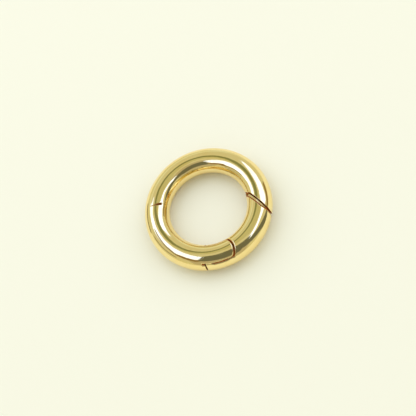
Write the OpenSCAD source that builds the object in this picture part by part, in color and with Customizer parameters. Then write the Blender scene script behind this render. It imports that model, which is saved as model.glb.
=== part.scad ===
// Round spring gate clasp: a ring of round rod with a gate that pivots inward on an upright pin.
// The ring lies flat on Z = 0 and its centre is on the Z axis.
// Directions are degrees counter-clockwise from +X, seen from above.

/* [Ring] */
// Outer diameter of the ring
ring_od = 18; // [17:0.5:24]
// Diameter of the round rod that the ring is made of
rod_d = 3.5; // [3.3:0.1:4]

/* [Butt seam] */
// Direction of the seam where the two fixed arcs meet end to end
butt_angle = 148.5; // [130:0.5:170]
// Slant of the seam away from the radius, as its saw cut was not quite square
butt_slant = 16; // [0:1:20]
// Width of the seam, square to its faces
butt_gap = 0.1; // [0.06:0.02:0.2]
// Diameter of the hidden peg across it
peg_d = 1.5; // [1.2:0.1:1.8]
// Length of the peg
peg_len = 4; // [3:0.5:5]
// Radial play of the peg in its two holes
peg_play = 0.02; // [0.01:0.01:0.05]

/* [Catch seam] */
// Direction in which the slanted seam crosses the middle of the rod
catch_angle = -29; // [-36:1:-22]
// Slant of the seam away from the radius, which keeps the gate from opening outward
catch_slant = 44; // [38:1:48]
// Width of the seam, square to its faces
catch_gap = 0.18; // [0.16:0.01:0.25]

/* [Hinge] */
// Direction of the hinge pin
hinge_angle = -103; // [-108:1:-98]
// Diameter of the pin
pin_d = 1; // [0.8:0.1:1.2]
// Radial play of the pin in the gate, which turns on it
pin_play = 0.05; // [0.03:0.01:0.08]
// Radial play of the pin in the ears, which hold it
pin_seat_play = 0.01; // [0.01:0.01:0.02]
// Height of the slot between the two ears
slot_h = 2.28; // [2:0.02:2.4]
// Gap above and below the gate's tongue in the slot
tongue_gap = 0.1; // [0.06:0.02:0.16]
// How far the round ends of the ears stand outside the rod's half width
ear_over = 0.15; // [0.1:0.05:0.2]
// Gap between the ears and the hollowed shoulders of the gate
shoulder_gap = 0.15; // [0.1:0.01:0.2]
// Distance behind the pin at which the tail of the tongue ends
tail_r = 2.32; // [2.2:0.01:2.5]
// Gap between the tail and the end of the slot
tail_gap = 0.15; // [0.1:0.01:0.2]
// How far the saw that opened the slot ran past its end, along its upper edge
saw_over = 0.35; // [0.2:0.05:0.5]
// Width of that saw cut
saw_w = 0.16; // [0.12:0.02:0.2]

/* [Hidden] */
$fn = 96;

gold = [0.86, 0.74, 0.40];
steel = [0.72, 0.71, 0.68];

rod_r = rod_d / 2;
path_r = (ring_od - rod_d) / 2;
pin_r = pin_d / 2;
ear_r = rod_r + ear_over;
ear_t = (rod_d - slot_h) / 2;
tongue_t = slot_h - 2 * tongue_gap;
slot_r = tail_r + tail_gap;

// The pin's lower end lies where its rim meets the round underside of the ring.
pin_foot_z = rod_r - sqrt(rod_r * rod_r - pin_r * pin_r);
// The hole in the upper ear is blind and this part of its thickness deep.
blind_part = 0.55;
pin_top_z = rod_d - ear_t + blind_part * ear_t;
blind_end_gap = 0.03;

// The arcs run past their cut ends by these angles before they are trimmed.
butt_reach = 0.4 * rod_d / path_r * 180 / PI;
catch_reach = 0.75 * rod_d / path_r * 180 / PI;
tail_reach = 1.1 * rod_d / path_r * 180 / PI;
ear_reach = 0.9 * rod_d / path_r * 180 / PI;
// Half size of the cutting shapes, which are larger than the rod, and how far they pass its top and bottom.
cut = 1.6 * rod_d;
over = 1;
// The peg's two holes are this much deeper than the peg is long.
peg_end_gap = 0.05;
// The saw cut past the slot stops this far outside the rod's middle line.
saw_stop = 0.4;

// A stretch of the round rod from one direction to another
module rod_arc(from, to) {
    translate([0, 0, rod_r])
        rotate([0, 0, from])
            rotate_extrude(angle = to - from)
                translate([path_r, 0])
                    circle(r = rod_r);
}

// Puts its children at the middle of the rod, with +X along the ring and +Y towards its centre.
module at_rod(angle) {
    rotate([0, 0, angle])
        translate([path_r, 0, 0])
            rotate([0, 0, 90])
                children();
}

// The space that a seam clears: from the face before the gap onward with side 1, or from the face after the
// gap backward with side -1
module seam_side(angle, slant, gap, side) {
    at_rod(angle)
        rotate([0, 0, slant])
            translate([side > 0 ? -gap / 2 : gap / 2 - cut, -cut, -over])
                cube([cut, 2 * cut, rod_d + 2 * over]);
}

// An upright cutter at the hinge between two heights, from a flat outline about the pin
module hinge_cut(z_low, z_high) {
    at_rod(hinge_angle)
        translate([0, 0, z_low])
            linear_extrude(height = z_high - z_low)
                children();
}

// Everything ahead of the pin, on the gate's side
module ahead() {
    translate([0, -cut])
        square([cut, 2 * cut]);
}

// Everything behind the pin, on the fixed arc's side
module behind() {
    translate([-cut, -cut])
        square([cut, 2 * cut]);
}

// Outline of the tail, round about the pin on the ring's inner side and square on its outer side,
// which lets the gate turn inward and stops it from turning outward
module tail_outline(reach) {
    circle(r = reach);
    translate([-reach, -cut])
        square([reach, cut]);
}

// An upright hole on the pin's axis
module pin_hole(z_low, z_high, play) {
    at_rod(hinge_angle)
        translate([0, 0, z_low])
            cylinder(r = pin_r + play, h = z_high - z_low);
}

// A peg along the ring at the butt seam, longer at each end by extra
module peg_shape(radius, extra) {
    at_rod(butt_angle)
        translate([-peg_len / 2 - extra, 0, rod_r])
            rotate([0, 90, 0])
                cylinder(r = radius, h = peg_len + 2 * extra);
}

// Fixed arc from the slanted catch face round to the butt seam, with the peg's hole in its end
module hoop_upper() {
    color(gold)
    difference() {
        rod_arc(catch_angle - catch_reach, butt_angle + butt_reach);
        seam_side(catch_angle, -catch_slant, catch_gap, -1);
        seam_side(butt_angle, butt_slant, butt_gap, 1);
        peg_shape(peg_d / 2 + peg_play, peg_end_gap);
    }
}

// Fixed arc from the butt seam to the two round-ended ears of the hinge
module hoop_lower() {
    color(gold)
    difference() {
        rod_arc(butt_angle - butt_reach, 360 + hinge_angle + ear_reach);
        seam_side(butt_angle, butt_slant, butt_gap, -1);
        peg_shape(peg_d / 2 + peg_play, peg_end_gap);
        hinge_cut(-over, rod_d + over)
            difference() {
                ahead();
                circle(r = ear_r);
            }
        hinge_cut(rod_r - slot_h / 2, rod_r + slot_h / 2)
            union() {
                ahead();
                tail_outline(slot_r);
            }
        hinge_cut(rod_r + slot_h / 2 - saw_w, rod_r + slot_h / 2)
            translate([-slot_r - saw_over, -cut])
                square([2 * saw_over, cut - saw_stop]);
        pin_hole(-over, pin_top_z + blind_end_gap, pin_seat_play);
    }
}

// Plain peg that joins the two fixed arcs
module seam_peg() {
    color(steel)
    peg_shape(peg_d / 2, 0);
}

// Pivoting arc: slanted end, shoulders hollowed round the ears, and the tongue with its tail in the slot
module gate() {
    color(gold)
    difference() {
        rod_arc(hinge_angle - tail_reach, catch_angle + catch_reach);
        seam_side(catch_angle, -catch_slant, catch_gap, 1);
        hinge_cut(rod_r + tongue_t / 2, rod_d + over)
            union() {
                behind();
                circle(r = ear_r + shoulder_gap);
            }
        hinge_cut(-over, rod_r - tongue_t / 2)
            union() {
                behind();
                circle(r = ear_r + shoulder_gap);
            }
        hinge_cut(-over, rod_d + over)
            difference() {
                behind();
                tail_outline(tail_r);
            }
        pin_hole(-over, rod_d + over, pin_play);
    }
}

// Plain upright pin, blind in the upper ear and flush with the underside
module hinge_pin() {
    color(steel)
    pin_hole(pin_foot_z, pin_top_z, 0);
}

hoop_upper();
hoop_lower();
seam_peg();
gate();
hinge_pin();
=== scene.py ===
import math

import bpy
import numpy as np
from mathutils import Matrix, Vector


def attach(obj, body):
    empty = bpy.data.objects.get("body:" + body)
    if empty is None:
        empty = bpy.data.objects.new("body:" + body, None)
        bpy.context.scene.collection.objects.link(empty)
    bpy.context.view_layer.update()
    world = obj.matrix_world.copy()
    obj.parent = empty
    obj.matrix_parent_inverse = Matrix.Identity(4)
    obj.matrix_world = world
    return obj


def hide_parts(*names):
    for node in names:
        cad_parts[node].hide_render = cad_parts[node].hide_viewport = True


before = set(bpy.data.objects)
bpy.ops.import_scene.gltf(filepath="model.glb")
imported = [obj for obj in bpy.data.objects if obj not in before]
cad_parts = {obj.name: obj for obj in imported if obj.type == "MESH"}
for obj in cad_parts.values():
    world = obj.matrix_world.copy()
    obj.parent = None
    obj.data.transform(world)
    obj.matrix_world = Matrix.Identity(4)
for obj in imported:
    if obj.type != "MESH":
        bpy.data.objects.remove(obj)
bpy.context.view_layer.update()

mm = 0.001
scene = bpy.context.scene

# Camera
# It stands close to the ring, high on the hinge's side, and is turned about its own line of sight.
# The ring's directions are degrees counter-clockwise from +X, seen from above.
ring_od = 18
rod_d = 3.5
rod_r = rod_d / 2
view_height_deg = 64
view_turn_deg = 30.9
view_distance = 110.3
camera_turn = Matrix.Rotation(math.radians(90 - view_height_deg), 4, "X") @ Matrix.Rotation(
    math.radians(-view_turn_deg), 4, "Z")
bpy.ops.object.camera_add()
camera = bpy.context.object
camera.data.sensor_width = 36
camera.data.lens = 69.2
camera.data.clip_start = 0.01
camera.data.clip_end = 20
camera_place = Vector((0, 0, rod_r)) + camera_turn @ Vector((0, 0, view_distance))
camera.matrix_world = Matrix.Translation(camera_place * mm) @ camera_turn
scene.camera = camera

# Floor
# A plain pale sheet that the ring lies on, slightly warm and fully matt.
floor_colour = (0.95, 0.945, 0.86)
bpy.ops.object.select_all(action="DESELECT")
bpy.ops.mesh.primitive_plane_add(size=6)
floor = bpy.context.object
floor.name = "floor"
paper = bpy.data.materials.new("pale_paper")
paper.use_nodes = True
paper_shader = paper.node_tree.nodes["Principled BSDF"]
paper_shader.inputs["Base Color"].default_value = (*floor_colour, 1)
paper_shader.inputs["Roughness"].default_value = 1
paper_shader.inputs["Specular IOR Level"].default_value = 0
floor.data.materials.append(paper)

# Studio light
# A dim warm room with soft cards close round the ring, which only the polished metal mirrors,
# and two soft lights high on the far and the right side that light the floor and cast the ring's shadow.
# Each card: direction and height in degrees, its turn, half width and half height, distance in mm, light.
# The half sizes are in parts of its distance, and a nearer card hides a farther one.
# Each soft light: direction and lean in degrees, power.
window_light = (1.3, 1.6, 2.8)
dark_light = (0.16, 0.17, 0.14)
brown_light = (0.28, 0.20, 0.08)
rail_light = (0.16, 0.11, 0.03)
rail_w = 0.04
card_soft = 0.06
cards = {
    "far_wall": (80, 18, 20, 1.2, 0.15, 80, (0.75, 0.80, 0.70)),
    "near_wall": (-110, 40, 0, 0.8, 0.7, 400, (0.50, 0.47, 0.38)),
    "camera_shade": (-102, 49, -20, 0.5, 0.36, 30, dark_light),
    "camera_arm": (-62, 31, -15, 0.25, 0.1, 30, dark_light),
    "shade_right": (-44, 22, -42, 0.55, 0.22, 90, dark_light),
    "corner_left": (-157, 38, -10, 0.25, 0.12, 60, brown_light),
    "window_left": (172, 54, 10, 0.5, 0.26, 60, window_light),
    "window_far": (135, 44, 20, 0.2, 0.2, 60, window_light),
    "window_right": (15, 45, 15, 0.45, 0.25, 60, window_light),
    "window_gate": (-35, 53, 0, 0.3, 0.12, 60, window_light),
    "ceiling": (45, 76, 0, 0.4, 0.2, 55, (0.55, 0.55, 0.35)),
    "crown_shade": (84, 63, 0, 0.2, 0.09, 45, (0.23, 0.26, 0.13)),
    "window_sill": (174, 37, -10, 0.35, 0.06, 28, brown_light),
    "edge_right": (-3, 12, 10, 0.25, 0.12, 50, brown_light),
    "rail_left": (175, 15, 10, 0.3, rail_w, 60, rail_light),
    "rail_left_low": (150, 5, 0, 0.25, rail_w, 15, rail_light),
}
low_light = (0.70, 0.70, 0.50)
high_light = (0.65, 0.65, 0.50)
light_change = (2, 24)
soft_lights = (("light_far", 122, 40, 1.95), ("light_right", 5, 42, 1.5))
soft_light_w = 0.8
soft_light_away = 0.6
soft_light_colour = (0.69, 0.71, 0.82)


def node(tree, kind, *sources, **settings):
    """A node of the tree, fed by the given sockets or numbers in order."""
    made = tree.nodes.new(kind)
    for name, value in settings.items():
        setattr(made, name, value)
    for place, source in enumerate(sources):
        if isinstance(source, bpy.types.NodeSocket):
            tree.links.new(source, made.inputs[place])
        elif source is not None:
            made.inputs[place].default_value = source
    return made


def calc(tree, operation, *values):
    """One step of arithmetic on sockets or numbers."""
    return node(tree, "ShaderNodeMath", *values, operation=operation).outputs[0]


def rise(tree, value, low, high, to_low=0.0, to_high=1.0):
    """Goes softly from one value to another as value goes from low to high."""
    return node(tree, "ShaderNodeMapRange", value, low, high, to_low, to_high,
                interpolation_type="SMOOTHSTEP").outputs["Result"]


def blend(tree, share, under, over):
    """One colour laid over another by share."""
    made = node(tree, "ShaderNodeMix", data_type="RGBA")
    for name, source in (("Factor", share), ("A", under), ("B", over)):
        socket = next(s for s in made.inputs if s.name == name and s.enabled)
        if isinstance(source, bpy.types.NodeSocket):
            tree.links.new(source, socket)
        else:
            socket.default_value = source if name == "Factor" else (*source, 1)
    return next(s for s in made.outputs if s.enabled)


def card_share(tree, across, half, soft):
    """How much of the card is there, from its middle to its soft edge, across its UV square."""
    middle = 0.5
    off = calc(tree, "ABSOLUTE", calc(tree, "SUBTRACT", across, middle))
    return rise(tree, off, middle, middle * (half - soft / 2) / (half + soft / 2))


world = bpy.data.worlds.new("studio")
scene.world = world
world.use_nodes = True
sky = world.node_tree
sky.nodes.clear()
height = node(sky, "ShaderNodeSeparateXYZ", node(sky, "ShaderNodeTexCoord").outputs["Generated"]).outputs["Z"]
above = rise(sky, height, *(math.sin(math.radians(a)) for a in light_change))
room_light = blend(sky, above, low_light, high_light)
node(sky, "ShaderNodeOutputWorld", node(sky, "ShaderNodeBackground", room_light).outputs[0])
for name, (side, up, turn, half_w, half_h, distance, colour) in cards.items():
    facing = (Matrix.Rotation(math.radians(side), 4, "Z") @ Matrix.Rotation(math.radians(-up), 4, "Y")
              @ Matrix.Rotation(math.radians(turn), 4, "X"))
    bpy.ops.object.select_all(action="DESELECT")
    bpy.ops.mesh.primitive_plane_add(size=1)
    card = bpy.context.object
    card.name = "card_" + name
    size = Vector((2 * half_w + card_soft, 2 * half_h + card_soft, 1)) * distance * mm
    stand = Matrix(((0, 0, 1, distance * mm), (1, 0, 0, 0), (0, 1, 0, 0), (0, 0, 0, 1)))
    ring_middle = Matrix.Translation((0, 0, rod_r * mm))
    card.matrix_world = ring_middle @ facing @ stand @ Matrix.Diagonal((*size, 1))
    card.visible_camera = False
    card.visible_diffuse = False
    card.visible_shadow = False
    card_face = bpy.data.materials.new("card_" + name)
    card_face.use_nodes = True
    lit = card_face.node_tree
    lit.nodes.clear()
    on_card = node(lit, "ShaderNodeSeparateXYZ", node(lit, "ShaderNodeTexCoord").outputs["UV"]).outputs
    share = calc(lit, "MULTIPLY", card_share(lit, on_card["X"], half_w, card_soft),
                 card_share(lit, on_card["Y"], half_h, card_soft))
    clear = node(lit, "ShaderNodeBsdfTransparent").outputs[0]
    glow = node(lit, "ShaderNodeEmission", (*colour, 1)).outputs[0]
    node(lit, "ShaderNodeOutputMaterial", node(lit, "ShaderNodeMixShader", share, clear, glow).outputs[0])
    card.data.materials.append(card_face)
for name, side, lean, power in soft_lights:
    bpy.ops.object.light_add(type="AREA")
    soft_light = bpy.context.object
    soft_light.name = name
    soft_light.data.shape = "DISK"
    soft_light.data.size = soft_light_w
    soft_light.data.energy = power
    soft_light.data.color = soft_light_colour
    soft_light.visible_glossy = False
    aim = Matrix.Rotation(math.radians(side), 4, "Z") @ Matrix.Rotation(math.radians(lean), 4, "Y")
    soft_light.matrix_world = aim @ Matrix.Translation((0, 0, soft_light_away))
scene.view_settings.view_transform = "Standard"

# Long fixed arc
# Round brass rod bent to the ring, sawn a little aslant at the butt seam and on a long slant at the catch.
# Its edges are rounded by polishing, and it is plated with gold.
path_r = (ring_od - rod_d) / 2
round_sides = 96
bend_step = 0.75
butt_angle = 148.5
butt_slant = 16
butt_gap = 0.1
butt_shut = 0.004
catch_angle = -29
catch_slant = 44
catch_gap = 0.18
seam_round = 0.04
catch_round = 0.05
peg_d = 1.5
peg_len = 4
peg_play = 0.02
peg_end_gap = 0.05
catch_closing = 0.15
catch_close_at = (1.85, 2.05)
catch_reach = 20
butt_reach = 11
saw_reach = 4
polish_flat = 0.026
polish_at = 149
polish_w = 10
polish_reach = 0.3
polish_passes = 6
least_slope = 0.2
same_way = 0.5
wall_depth = 0.02
wall_bands = (0.03, 0.03, 0.03)


def bend_rod(name, start, end):
    """A stretch of the round rod bent along the ring between two directions, closed at both ends."""
    at = math.radians(start)
    bpy.ops.object.select_all(action="DESELECT")
    bpy.ops.mesh.primitive_circle_add(
        vertices=round_sides, radius=rod_r, rotation=(math.pi / 2, 0, at),
        location=(path_r * math.cos(at), path_r * math.sin(at), rod_r))
    piece = bpy.context.object
    piece.name = name
    piece.data.name = name
    bpy.ops.object.transform_apply(location=True, rotation=True, scale=True)
    bpy.ops.object.mode_set(mode="EDIT")
    bpy.ops.mesh.select_all(action="SELECT")
    bpy.ops.mesh.spin(steps=round((end - start) / bend_step), angle=math.radians(end - start),
                      center=(0, 0, rod_r), axis=(0, 0, -1))
    bpy.ops.mesh.select_all(action="SELECT")
    bpy.ops.mesh.fill_holes(sides=0)
    bpy.ops.mesh.select_all(action="SELECT")
    bpy.ops.mesh.normals_make_consistent(inside=False)
    bpy.ops.object.mode_set(mode="OBJECT")
    return piece


def at_rod(angle):
    """The place at the middle of the rod, with +X along the ring and +Y towards its centre."""
    return (Matrix.Rotation(math.radians(angle), 4, "Z") @ Matrix.Translation((path_r, 0, rod_r))
            @ Matrix.Rotation(math.pi / 2, 4, "Z"))


def saw(piece, place, offsets, keep):
    """Loops round the rod near place, square to its X axis at these offsets. The last one is the sawn
    end: only what lies on the side of X that keep gives, 1 or -1, stays."""
    bpy.context.view_layer.objects.active = piece
    along = place.to_3x3() @ Vector((keep, 0, 0))
    for off in offsets:
        mesh = piece.data
        centres = np.array([f.center[:] for f in mesh.polygons])
        near = np.linalg.norm(centres - place.translation, axis=1) < saw_reach
        mesh.polygons.foreach_set("select", near)
        mesh.update()
        bpy.ops.object.mode_set(mode="EDIT")
        bpy.ops.mesh.select_mode(type="FACE")
        last = off == offsets[-1]
        bpy.ops.mesh.bisect(plane_co=place @ Vector((off, 0, 0)), plane_no=along,
                            use_fill=last, clear_inner=last, threshold=1e-5)
        bpy.ops.object.mode_set(mode="OBJECT")


def cut(piece, tool):
    """Takes the tool's shape out of the piece, and the tool is gone."""
    bpy.ops.object.select_all(action="DESELECT")
    bpy.context.view_layer.objects.active = piece
    step = piece.modifiers.new("cut", "BOOLEAN")
    step.operation = "DIFFERENCE"
    step.solver = "EXACT"
    step.object = tool
    bpy.ops.object.modifier_apply(modifier=step.name)
    bpy.data.objects.remove(tool)


def drill(place, radius, low, high, along="Z"):
    """A round tool about place's Z axis between two heights, or along its X axis."""
    turned = Matrix.Rotation(math.pi / 2, 4, "Y") if along == "X" else Matrix.Identity(4)
    bpy.ops.object.select_all(action="DESELECT")
    bpy.ops.mesh.primitive_cylinder_add(vertices=round_sides, radius=radius, depth=high - low)
    tool = bpy.context.object
    tool.matrix_world = place @ turned @ Matrix.Translation((0, 0, (high + low) / 2))
    return tool


def rod_depth(p):
    """Distance of points from the rod's round surface, less than 0 inside it. The hand polishing has left
    the upper side of the hole's wall a trace flatter."""
    out = np.hypot(p[:, 0], p[:, 1]) - path_r
    around = np.degrees(np.arctan2(p[:, 2] - rod_r, out))
    flatter = polish_flat * np.exp(-((around - polish_at) / polish_w) ** 2)
    return np.hypot(out, p[:, 2] - rod_r) - rod_r + flatter


def seen_from(place, p):
    """Points in place's own axes."""
    back = np.array(place.inverted())
    return p @ back[:3, :3].T + back[:3, 3]


def both(a, b, radius):
    """The shape inside both of two surfaces, its edge rounded to radius."""
    inside = np.minimum(np.maximum(a, b), -radius)
    return inside + np.hypot(np.maximum(a + radius, 0), np.maximum(b + radius, 0))


def slope_of(form, p):
    """Direction in which the form's distance grows, at each point."""
    reach = 1e-3
    slope = np.empty_like(p)
    for axis in range(3):
        shift = np.zeros(3)
        shift[axis] = reach
        slope[:, axis] = (form(p + shift) - form(p - shift)) / (2 * reach)
    return slope


def line_walls(piece, widths):
    """Bands inside the rim of every sawn or milled wall, for its edges to be rounded on."""
    mesh = piece.data
    centres = np.array([f.center[:] for f in mesh.polygons])
    walls = rod_depth(centres) < -wall_depth
    mesh.polygons.foreach_set("select", walls)
    mesh.update()
    bpy.ops.object.select_all(action="DESELECT")
    bpy.context.view_layer.objects.active = piece
    bpy.ops.object.mode_set(mode="EDIT")
    bpy.ops.mesh.select_mode(type="FACE")
    for width in widths:
        bpy.ops.mesh.inset(thickness=width, use_boundary=True, use_even_offset=False)
    bpy.ops.mesh.select_all(action="DESELECT")
    bpy.ops.object.mode_set(mode="OBJECT")


def polish(piece, form):
    """Draws the mesh on to the polished form, brings it to metres, and shades it by the form's own slope
    wherever that agrees with the face."""
    mesh = piece.data
    p = np.empty(len(mesh.vertices) * 3)
    mesh.vertices.foreach_get("co", p)
    p = p.reshape(-1, 3)
    for _ in range(polish_passes):
        off = form(p)
        slope = slope_of(form, p)
        near = np.abs(off) < polish_reach
        p[near] -= (off / np.maximum((slope ** 2).sum(1), least_slope))[near, None] * slope[near]
    lean = slope_of(form, p)
    lean /= np.maximum(np.linalg.norm(lean, axis=1), 1e-9)[:, None]
    mesh.vertices.foreach_set("co", (p * mm).ravel())
    mesh.update()
    mesh.polygons.foreach_set("use_smooth", np.ones(len(mesh.polygons), bool))
    flat = np.empty(len(mesh.polygons) * 3)
    mesh.polygons.foreach_get("normal", flat)
    corners = np.empty(len(mesh.loops), int)
    mesh.loops.foreach_get("vertex_index", corners)
    sizes = np.empty(len(mesh.polygons), int)
    mesh.polygons.foreach_get("loop_total", sizes)
    of_face = np.repeat(flat.reshape(-1, 3), sizes, axis=0)
    of_form = lean[corners]
    agree = (of_face * of_form).sum(1) > same_way
    mesh.normals_split_custom_set(np.where(agree[:, None], of_form, of_face))


def unevenness(tree, where, across, detail, stretch=None, turn=(0, 0, 0)):
    """Noise in patches about so many mm across, drawn out along a turned X axis by stretch."""
    if stretch:
        where = node(tree, "ShaderNodeMapping", where, None, turn, (1 / stretch, 1, 1)).outputs[0]
    made = node(tree, "ShaderNodeTexNoise", where)
    made.inputs["Scale"].default_value = 1 / (across * mm)
    made.inputs["Detail"].default_value = detail
    return made.outputs["Fac"]


def hairlines(tree, where, across, width, stretch, turn):
    """Thin lines where drawn-out noise passes its middle."""
    middle = 0.5
    off = calc(tree, "SUBTRACT", unevenness(tree, where, across, 1, stretch, turn), middle)
    return rise(tree, calc(tree, "ABSOLUTE", off), width, 0)


def raised(tree, height, distance, under=None):
    """Relief of a height pattern, so many mm high, over another relief."""
    made = node(tree, "ShaderNodeBump")
    made.inputs["Distance"].default_value = distance * mm
    tree.links.new(height, made.inputs["Height"])
    if under:
        tree.links.new(under, made.inputs["Normal"])
    return made.outputs["Normal"]


butt_place = at_rod(butt_angle)
butt_cut = butt_place @ Matrix.Rotation(math.radians(butt_slant), 4, "Z")
catch_place = at_rod(catch_angle) @ Matrix.Rotation(math.radians(-catch_slant), 4, "Z")
gold_light = (0.97, 0.79, 0.38)
gold_deep = (0.96, 0.75, 0.33)
# Patterns: size in mm and fineness. Scratches: size in mm, width, stretch and turn.
gold_patches = (2.2, 4)
gold_patch_edge = (0.35, 0.65)
gold_waves = (1.1, 1)
gold_wave_high = 0.010
gold_grain = (0.12, 2)
gold_grain_high = 0.0004
rubbed_patches = (0.9, 6)
rubbed_edge = (0.3, 0.75)
rubbed_rough = (0.012, 0.05)
short_scratches = (0.5, 0.012, 9, (0.3, 0.2, 0.5))
long_scratches = (0.7, 0.010, 12, (-0.4, 0.6, 2.1))
scratch_rough = 0.06
scratch_deep = 0.0006
# Brown rim of the joints: partly tarnish, partly painted reflection of the gold walls seen in the gap.
joint_light = (0.52, 0.15, 0.025)
joint_dark = (0.32, 0.075, 0.010)
joint_bare = (0.80, 0.59, 0.28)
joint_worn = (0.66, 0.42, 0.17)
joint_depth = 0.04
joint_soft = 0.05
joint_band = (0.50, 0.80)
joint_patches = (0.35, 3)
joint_patch_edge = (0.3, 0.7)
joint_rough = 0.4
joint_metal = 0.15
joint_sheen = (0.5, 0.03)
bare_dirt = 0.1
# Dark brown of the painted shade in the seams' lines, notch and gaps.
seam_shade_dark = (0.21, 0.070, 0.008)
line_join = (-1.9, -1.0)
line_place = 0.31
line_edge = (0.10, 0.05)
line_shade = 0.9
line_fade = (1.7, 1.3)
notch_inward = (1.68, 1.8)
notch_behind = (-0.5, -0.42)
notch_level = (0.35, 0.5)
bevel_fade = (2.15, 1.85)
bevel_shade = 0.28
bevel_shade_w = 0.1
butt_open = (70, 78, 122, 127)
butt_along = (0.5, 0.4)
butt_inward = (3, 2.5)
# Painted shade along the open part of the butt seam: a brown band on the gold beside the gap.
seam_shade_w = (0.06, 0.17)
seam_widens_at = (82, 106)
seam_shade_soft = 0.03
seam_shade_fade = 0.7
seam_narrow = 0.2
seam_shade_light = (0.42, 0.17, 0.02)


def rise_mm(tree, value, low, high, to_low=0.0, to_high=1.0):
    """The same soft change over a stretch that is given in mm."""
    return rise(tree, value, low * mm, high * mm, to_low, to_high)


def multiplied(tree, *values):
    """Product of two or more values."""
    made = values[0]
    for value in values[1:]:
        made = calc(tree, "MULTIPLY", made, value)
    return made


def left_of(tree, share):
    """What is left of 1."""
    return calc(tree, "SUBTRACT", 1, share)


def reached(tree, spot, place, axis):
    """How far spot lies along one of place's axes, in metres."""
    along = place.to_3x3().col[axis]
    made = node(tree, "ShaderNodeVectorMath", spot, along, operation="DOT_PRODUCT").outputs["Value"]
    return calc(tree, "SUBTRACT", made, place.translation.dot(along) * mm)


def place_in_rod(tree, spot):
    """How far spot lies outside the rod's middle line, above it, and from it in all."""
    flat = node(tree, "ShaderNodeVectorMath", spot, (1, 1, 0), operation="MULTIPLY").outputs[0]
    out = node(tree, "ShaderNodeVectorMath", flat, operation="LENGTH").outputs["Value"]
    out = calc(tree, "SUBTRACT", out, path_r * mm)
    level = node(tree, "ShaderNodeSeparateXYZ", spot).outputs["Z"]
    level = calc(tree, "SUBTRACT", level, rod_r * mm)
    in_rod = node(tree, "ShaderNodeCombineXYZ", out, level).outputs[0]
    in_rod = node(tree, "ShaderNodeVectorMath", in_rod, operation="LENGTH").outputs["Value"]
    return out, level, in_rod


def bevelled_end(tree, spot, level, bevel_w, bevel_deep):
    """The gate's slanted end: how deep its bevel lies, and the painted shade in the line behind the seam, in
    the notch at the hole's edge and on the bevel next to the line."""
    face = -catch_gap / 2
    behind = reached(tree, spot, catch_place, 0)
    inward = reached(tree, spot, catch_place, 1)
    spare = node(tree, "ShaderNodeMapRange", behind, (face - bevel_w) * mm, face * mm, 0,
                 bevel_deep * mm).outputs[0]
    spare = multiplied(tree, spare, rise_mm(tree, inward, *line_join), rise_mm(tree, inward, *bevel_fade))
    groove = node(tree, "ShaderNodeMapRange", inward, line_join[0] * mm, line_join[1] * mm, face * mm,
                  (face - line_place) * mm).outputs[0]
    aside = calc(tree, "ABSOLUTE", calc(tree, "SUBTRACT", behind, groove))
    # Painted shade: the groove behind the seam, the notch at the hole's edge and the bevel by the groove are
    # darkened where shade falls.
    in_line = multiplied(tree, rise_mm(tree, aside, *line_edge, 0, line_shade),
                         rise_mm(tree, inward, *line_fade))
    in_notch = multiplied(tree, rise_mm(tree, inward, *notch_inward), rise_mm(tree, behind, *notch_behind),
                          rise_mm(tree, level, *notch_level))
    on_bevel = rise_mm(tree, behind, face - line_place, face - line_place + bevel_shade_w, 0, bevel_shade)
    return spare, (in_line, in_notch, on_bevel)


def butt_seam(tree, spot, out, level):
    """The closed part of the butt seam, the painted shade along its open part on top, and that shade's
    colour.
    """
    around = calc(tree, "ARCTAN2", level, out)
    low, low_full, high_full, high = (math.radians(a) for a in butt_open)
    opened = multiplied(tree, rise(tree, around, low, low_full), rise(tree, around, high, high_full))
    apart = calc(tree, "ABSOLUTE", reached(tree, spot, butt_cut, 0))
    by_butt = multiplied(tree, rise_mm(tree, apart, *butt_along),
                         rise_mm(tree, reached(tree, spot, butt_cut, 1), *butt_inward))
    thin, thick = (math.radians(a) for a in seam_widens_at)
    half = rise(tree, around, thin, thick, seam_shade_w[0] * mm, seam_shade_w[1] * mm)
    past_seam_shade = calc(tree, "SUBTRACT", apart, half)
    # Painted shade in a band beside the open gap.
    seam_shade = multiplied(tree, rise_mm(tree, past_seam_shade, seam_shade_soft, 0), opened, by_butt,
                       rise(tree, around, low, high_full, seam_shade_fade, 1))
    painted_shade_colour = blend(tree, multiplied(tree, by_butt, rise(tree, around, thick, thin)), seam_shade_dark, seam_shade_light)
    return multiplied(tree, left_of(tree, opened), by_butt), seam_shade, painted_shade_colour


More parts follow.
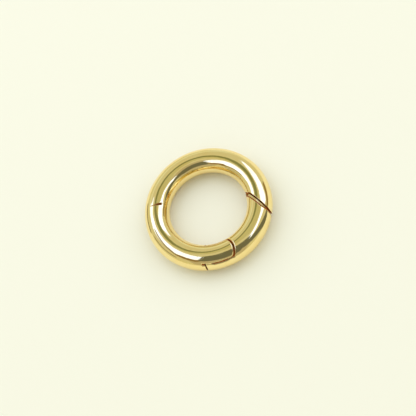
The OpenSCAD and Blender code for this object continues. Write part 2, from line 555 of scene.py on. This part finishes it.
def gold_plate(name, bevel_w=0, bevel_deep=0):
    """Polished gold plate, a little uneven and finely scratched. Joints are bare worn brass inside, with a
    brown rim that is partly tarnish and partly painted reflection of the gap's gold walls. Painted shade
    darkens the open part of the butt seam and the line, notch and bevel edge at the slanted seam. A bevel at
    the slanted seam stays bright."""
    made = bpy.data.materials.new(name)
    made.use_nodes = True
    tree = made.node_tree
    shine = tree.nodes["Principled BSDF"]
    spot = node(tree, "ShaderNodeTexCoord").outputs["Object"]
    out, level, in_rod = place_in_rod(tree, spot)
    marks = ()
    if bevel_w:
        spare, marks = bevelled_end(tree, spot, level, bevel_w, bevel_deep)
        in_rod = calc(tree, "ADD", in_rod, spare)
    # Painted shade of both seams is laid over the gold tone and dulls its shine.
    closed, painted_shade, painted_shade_colour = butt_seam(tree, spot, out, level)
    for mark in marks:
        painted_shade = calc(tree, "MAXIMUM", painted_shade, mark)
    rim = rod_r - joint_depth
    in_joint = multiplied(tree, rise_mm(tree, in_rod, rim, rim - joint_soft), left_of(tree, closed))
    inner = rise_mm(tree, in_rod, rod_r - joint_band[0], rod_r - joint_band[1])

    patches = rise(tree, unevenness(tree, spot, *gold_patches), *gold_patch_edge)
    tone = blend(tree, patches, gold_light, gold_deep)
    patchy = rise(tree, unevenness(tree, spot, *joint_patches), *joint_patch_edge)
    # Painted reflection and tarnish on the joint's rim, bare brass deeper in.
    tarnish_and_reflection = blend(tree, inner, blend(tree, patchy, joint_light, joint_dark),
                    blend(tree, patchy, joint_bare, joint_worn))
    colour = blend(tree, in_joint, blend(tree, painted_shade, tone, painted_shade_colour), tarnish_and_reflection)
    tree.links.new(colour, shine.inputs["Base Color"])

    in_joint = calc(tree, "MAXIMUM", in_joint, painted_shade)
    dulled = multiplied(tree, in_joint, rise(tree, inner, 0, 1, 1, bare_dirt))
    tree.links.new(rise(tree, dulled, 0, 1, 1, joint_metal), shine.inputs["Metallic"])
    tree.links.new(rise(tree, dulled, 0, 1, *joint_sheen), shine.inputs["Specular IOR Level"])

    scratches = calc(tree, "MAXIMUM", hairlines(tree, spot, *short_scratches),
                     hairlines(tree, spot, *long_scratches))
    wear = rise(tree, unevenness(tree, spot, *rubbed_patches), *rubbed_edge, *rubbed_rough)
    wear = calc(tree, "MULTIPLY_ADD", scratches, scratch_rough, wear)
    wear = calc(tree, "MULTIPLY_ADD", in_joint, joint_rough, wear)
    tree.links.new(wear, shine.inputs["Roughness"])

    relief = raised(tree, unevenness(tree, spot, *gold_waves), gold_wave_high)
    relief = raised(tree, unevenness(tree, spot, *gold_grain), gold_grain_high, relief)
    relief = raised(tree, scratches, -scratch_deep, relief)
    tree.links.new(relief, shine.inputs["Normal"])
    return made


gold = gold_plate("polished_gold_plate")
seam_loops = (0.3, 0.25, 0.2, 0.15, 0.1, 0.06, 0.03, 0.01)


def passed(value, start, full):
    """Share of the way from start to full that value has gone, from 0 to 1."""
    return np.clip((value - start) / (full - start), 0, 1)


def drill_for_peg(piece):
    """Bores the peg's hole into the arc's end at the butt seam."""
    deep = peg_len / 2 + peg_end_gap
    cut(piece, drill(butt_place, peg_d / 2 + peg_play, -deep, deep, along="X"))


def sawn_end(place, offset, side, p):
    """Distance past the end that is sawn square to place's X axis, and far inside away from it."""
    own = seen_from(place, p)
    past = side * (own[:, 0] - offset)
    return np.where(np.linalg.norm(own, axis=1) < saw_reach, past, -saw_reach)


def at_butt(side, p):
    """The rod's distance with its end sawn at the butt seam, which is closed but for a stretch on top."""
    around = np.degrees(np.arctan2(p[:, 2] - rod_r, np.hypot(p[:, 0], p[:, 1]) - path_r))
    low, low_full, high_full, high = butt_open
    opened = passed(around, low, low_full) * passed(around, high, high_full)
    opened = opened * np.interp(around, seam_widens_at, (seam_narrow, 1))
    half = butt_shut + (butt_gap / 2 - butt_shut) * opened
    radius = butt_shut + (seam_round - butt_shut) * opened
    return both(rod_depth(p), sawn_end(butt_cut, -side * half, side, p), radius)


def hoop_upper_form(p):
    """The long arc. Its slanted face comes nearer to the gate at the hole's edge."""
    inward = seen_from(catch_place, p)[:, 1]
    closing = catch_closing * passed(inward, *catch_close_at)
    return both(at_butt(1, p), sawn_end(catch_place, catch_gap / 2 - closing, -1, p), catch_round)


catch_end = catch_gap / 2 - catch_closing
hoop_upper = bend_rod("hoop_upper_plated", catch_angle - catch_reach, butt_angle + butt_reach)
saw(hoop_upper, butt_cut, [-butt_shut - k for k in seam_loops] + [-butt_shut], keep=-1)
saw(hoop_upper, catch_place, [catch_end + k for k in seam_loops] + [catch_end], keep=1)
drill_for_peg(hoop_upper)
line_walls(hoop_upper, wall_bands)
polish(hoop_upper, hoop_upper_form)
hoop_upper.data.materials.clear()
hoop_upper.data.materials.append(gold)
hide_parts("hoop_upper")
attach(hoop_upper, "hoop")

# Short fixed arc
# The same plated rod from the butt seam to the hinge. A slot is milled between two ears there,
# the ears are rounded about the pin, and a hole for the pin goes through the lower ear.
hinge_angle = -103
pin_d = 1
pin_seat_play = 0.01
slot_h = 2.28
ear_over = 0.15
tail_r = 2.32
tail_gap = 0.15
ear_reach = 24
ear_round = 0.13
slot_edge_at = (-2.34, -2.26, -1.7, -1.2, 0.5, 0.9, 1.45, 1.65)
slot_edge_round = (0.13, 0.02, 0.02, 0.13, 0.13, 0.07, 0.07, 0.13)
ear_top_round = 0.22
slot_corner_round = 0.25
saw_over = 0.35
saw_w = 0.16
saw_stop = 0.4
blind_part = 0.55
blind_end_gap = 0.03
ear_r = rod_r + ear_over
ear_t = (rod_d - slot_h) / 2
slot_r = tail_r + tail_gap
pin_r = pin_d / 2
pin_foot = pin_r ** 2 / (rod_r + math.sqrt(rod_r ** 2 - pin_r ** 2)) - rod_r
pin_top = rod_r - (1 - blind_part) * ear_t
beyond = 1.6 * rod_d
tool_over = 1
ear_top_level = (1.2, 1.4)
ear_top_out = (1.5, 1.7)
ear_bands = (0.04, 0.05, 0.05)
hinge_place = at_rod(hinge_angle)


def block(place, low, high):
    """A square tool between two corners in place's own axes."""
    bpy.ops.object.select_all(action="DESELECT")
    bpy.ops.mesh.primitive_cube_add(size=1)
    tool = bpy.context.object
    middle = (Vector(low) + Vector(high)) / 2
    size = Vector(high) - Vector(low)
    tool.matrix_world = place @ Matrix.Translation(middle) @ Matrix.Diagonal((*size, 1))
    return tool


def round_over(radius, ahead):
    """A tool that takes all on one side of the pin but what lies within radius of it. Behind the pin it
    leaves the outer half square."""
    low = (0, -beyond, -beyond) if ahead else (-beyond, -beyond, -beyond)
    high = (beyond, beyond, beyond) if ahead else (0, beyond, beyond)
    tool = block(hinge_place, low, high)
    top = beyond + tool_over
    cut(tool, drill(hinge_place, radius, -top, top))
    if not ahead:
        cut(tool, block(hinge_place, (-radius, -top, -top), (tool_over, 0, top)))
    return tool


def past_tail(own, reach):
    """Distance outside the tail's outline, round about the pin inside the ring and square outside."""
    return np.minimum(np.hypot(own[:, 0], own[:, 1]) - reach, np.maximum(-own[:, 0] - reach, own[:, 1]))


def hinge_edge(own):
    """Rounding of the joint's edges: the slot's upper one varies along it, the ears' is widest on top."""
    along = np.interp(own[:, 0], slot_edge_at, slot_edge_round)
    from_pin = np.hypot(own[:, 0], own[:, 1])
    top = passed(own[:, 2], *ear_top_level) * passed(from_pin, *ear_top_out)
    return np.where(own[:, 2] > 0, along + (ear_top_round - along) * top * (own[:, 0] > 0), ear_round)


def hoop_lower_form(p):
    """The short arc: two ears round about the pin, the slot between them and the saw's overrun at its end."""
    own = seen_from(hinge_place, p)
    from_pin = np.hypot(own[:, 0], own[:, 1])
    ears = np.minimum(own[:, 0], from_pin - ear_r)
    slot = np.maximum(np.abs(own[:, 2]) - slot_h / 2, np.minimum(-own[:, 0], past_tail(own, slot_r)))
    sawn = np.maximum(np.abs(own[:, 2] - slot_h / 2 + saw_w / 2) - saw_w / 2,
                      np.maximum(-own[:, 0] - slot_r - saw_over, own[:, 1] + saw_stop))
    slot = -np.minimum(slot, sawn)
    hinge = np.where(from_pin < beyond, both(ears, slot, slot_corner_round), -beyond)
    return both(at_butt(-1, p), hinge, hinge_edge(own))


hoop_lower = bend_rod("hoop_lower_plated", butt_angle - butt_reach, 360 + hinge_angle + ear_reach)
saw(hoop_lower, butt_cut, [butt_shut + k for k in seam_loops] + [butt_shut], keep=1)
drill_for_peg(hoop_lower)
cut(hoop_lower, round_over(ear_r, ahead=True))
cut(hoop_lower, block(hinge_place, (0, -beyond, -slot_h / 2), (beyond, beyond, slot_h / 2)))
cut(hoop_lower, drill(hinge_place, slot_r, -slot_h / 2, slot_h / 2))
cut(hoop_lower, block(hinge_place, (-slot_r, -beyond, -slot_h / 2), (tool_over, 0, slot_h / 2)))
cut(hoop_lower, block(hinge_place, (-slot_r - saw_over, -beyond, slot_h / 2 - saw_w),
                      (saw_over - slot_r, -saw_stop, slot_h / 2)))
cut(hoop_lower, drill(hinge_place, pin_r + pin_seat_play, -beyond, pin_top + blind_end_gap))
line_walls(hoop_lower, ear_bands)
polish(hoop_lower, hoop_lower_form)
hoop_lower.data.materials.clear()
hoop_lower.data.materials.append(gold)
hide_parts("hoop_lower")
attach(hoop_lower, "hoop")

# Gate
# A short arc of the plated rod that turns on the pin. Its tongue and round tail fill the slot between
# the ears, its shoulders are hollowed to clear them, and its free end is sawn on a slant and chamfered.
pin_play = 0.05
tongue_gap = 0.1
shoulder_gap = 0.15
tail_reach = 30
tail_snug = (-1.2, -1.7)
snug_gap = 0.01
bevel_w = 0.22
bevel_deep = 0.09
line_half = (0.22, 0.10)
line_deep = 0.12
gate_loops = (0.42, 0.38, 0.36, 0.34, 0.32, 0.30, 0.28, 0.26, 0.24,
              0.22, 0.20, 0.18, 0.15, 0.12, 0.09, 0.06, 0.03)
gate_bands = (0.06, 0.06, 0.06)
tongue_t = slot_h - 2 * tongue_gap
shoulder_r = ear_r + shoulder_gap


def gate_form(p):
    """The gate: tongue and tail in the slot, hollowed shoulders, and the bevelled end with its line."""
    own = seen_from(hinge_place, p)
    from_pin = np.hypot(own[:, 0], own[:, 1])
    snug = passed(own[:, 0], *tail_snug) * (own[:, 2] > 0)
    tongue = tongue_t / 2 + (tongue_gap - snug_gap) * snug
    shoulders = -np.maximum(tongue - np.abs(own[:, 2]), np.minimum(own[:, 0], from_pin - shoulder_r))
    tail = np.minimum(-own[:, 0], past_tail(own, tail_r))
    hinge = np.where(from_pin < beyond, np.maximum(shoulders, tail), -beyond)
    end = sawn_end(catch_place, -catch_gap / 2, 1, p)
    share = passed(seen_from(catch_place, p)[:, 1], *line_join)
    half = line_half[0] + (line_half[1] - line_half[0]) * share
    line = line_deep * np.cos(np.clip((-end - line_place * share) / half, -1, 1) * math.pi / 2) ** 2
    milled = both(rod_depth(p) + line, hinge, hinge_edge(own))
    bevel = (milled * bevel_w + end * bevel_deep + bevel_w * bevel_deep) / math.hypot(bevel_w, bevel_deep)
    return np.maximum(np.maximum(milled, end), bevel)


gate = bend_rod("gate_plated", hinge_angle - tail_reach, catch_angle + catch_reach)
saw(gate, catch_place, [-catch_gap / 2 - k for k in gate_loops] + [-catch_gap / 2], keep=-1)
cut(gate, round_over(tail_r, ahead=False))
for low, high in ((tongue_t / 2, beyond), (-beyond, -tongue_t / 2)):
    cut(gate, block(hinge_place, (-beyond, -beyond, low), (0, beyond, high)))
    cut(gate, drill(hinge_place, shoulder_r, low, high))
cut(gate, drill(hinge_place, pin_r + pin_play, -beyond, beyond))
line_walls(gate, gate_bands)
polish(gate, gate_form)
gate.data.materials.clear()
gate.data.materials.append(gold_plate("polished_gold_plate_gate", bevel_w, bevel_deep))
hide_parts("gate")
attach(gate, "gate")

# Hinge pin
# A short length of drawn brass wire pressed into both ears from below, on which the gate turns.
# Its lower end is flush with the underside and its upper end stops in the blind hole.
wire_round = 0.04
wire_round_loops = 4
wire_end_band = 0.02
wire_lines = (0.05, 3, 40)
wire_line_edge = (0.3, 0.7)
wire_line_high = 0.002
wire_patches = (0.6, 4)
wire_patch_edge = (0.35, 0.65)
wire_rough = (0.16, 0.3)
wire_dull_rough = 0.12
wire_colour = (0.86, 0.71, 0.37)
wire_dull = (0.70, 0.50, 0.24)


def cut_wire(name, place, radius, low, high, along):
    """A cut length of round wire with slightly rounded ends."""
    piece = drill(place, radius, low, high, along)
    piece.name = name
    piece.data.name = name
    bpy.ops.object.transform_apply(location=True, rotation=True, scale=True)
    bpy.ops.object.mode_set(mode="EDIT")
    bpy.ops.mesh.select_mode(type="FACE")
    bpy.ops.mesh.select_all(action="DESELECT")
    bpy.ops.mesh.select_face_by_sides(number=4, type="GREATER")
    bpy.ops.mesh.region_to_loop()
    bpy.ops.mesh.bevel(offset=wire_round, segments=wire_round_loops, affect="EDGES")
    bpy.ops.mesh.select_mode(type="FACE")
    bpy.ops.mesh.select_all(action="DESELECT")
    bpy.ops.mesh.select_face_by_sides(number=4, type="GREATER")
    for width in (wire_end_band, radius / 3, radius / 3):
        bpy.ops.mesh.inset(thickness=width, use_boundary=True)
    bpy.ops.object.mode_set(mode="OBJECT")

    def wire_form(p):
        """The wire: round, and cut square at both ends."""
        own = seen_from(place, p)
        length, side = (own[:, 0], own[:, 2]) if along == "X" else (own[:, 2], own[:, 0])
        ends = np.abs(length - (low + high) / 2) - (high - low) / 2
        return both(np.hypot(own[:, 1], side) - radius, ends, wire_round)

    polish(piece, wire_form)
    return piece


def drawn_wire(name, place, along):
    """Brass wire with fine lines along it from the drawing plate, and duller patches."""
    made = bpy.data.materials.new(name)
    made.use_nodes = True
    tree = made.node_tree
    brass = tree.nodes["Principled BSDF"]
    brass.inputs["Metallic"].default_value = 1
    turned = place.to_3x3() @ Matrix.Rotation(math.pi / 2, 3, "Y") if along == "Z" else place.to_3x3()
    spot = node(tree, "ShaderNodeTexCoord").outputs["Object"]
    spot = node(tree, "ShaderNodeMapping", spot, None, tuple(turned.inverted().to_euler())).outputs[0]
    lines = unevenness(tree, spot, *wire_lines)
    patches = rise(tree, unevenness(tree, spot, *wire_patches), *wire_patch_edge)
    tree.links.new(blend(tree, patches, wire_colour, wire_dull), brass.inputs["Base Color"])
    drawn = rise(tree, lines, *wire_line_edge, *wire_rough)
    dull = calc(tree, "MULTIPLY_ADD", patches, wire_dull_rough, drawn)
    tree.links.new(dull, brass.inputs["Roughness"])
    tree.links.new(raised(tree, lines, wire_line_high), brass.inputs["Normal"])
    return made


hinge_pin = cut_wire("hinge_pin_wire", hinge_place, pin_r, pin_foot, pin_top, "Z")
hinge_pin.data.materials.append(drawn_wire("drawn_pin_wire", hinge_place, "Z"))
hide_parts("hinge_pin")
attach(hinge_pin, "hoop")

# Seam peg
# A short length of thicker brass wire across the butt seam. It sits hidden in a hole in each arc's end,
# where solder holds it.
seam_peg = cut_wire("seam_peg_wire", butt_place, peg_d / 2, -peg_len / 2, peg_len / 2, "X")
seam_peg.data.materials.append(drawn_wire("drawn_peg_wire", butt_place, "X"))
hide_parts("seam_peg")
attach(seam_peg, "hoop")
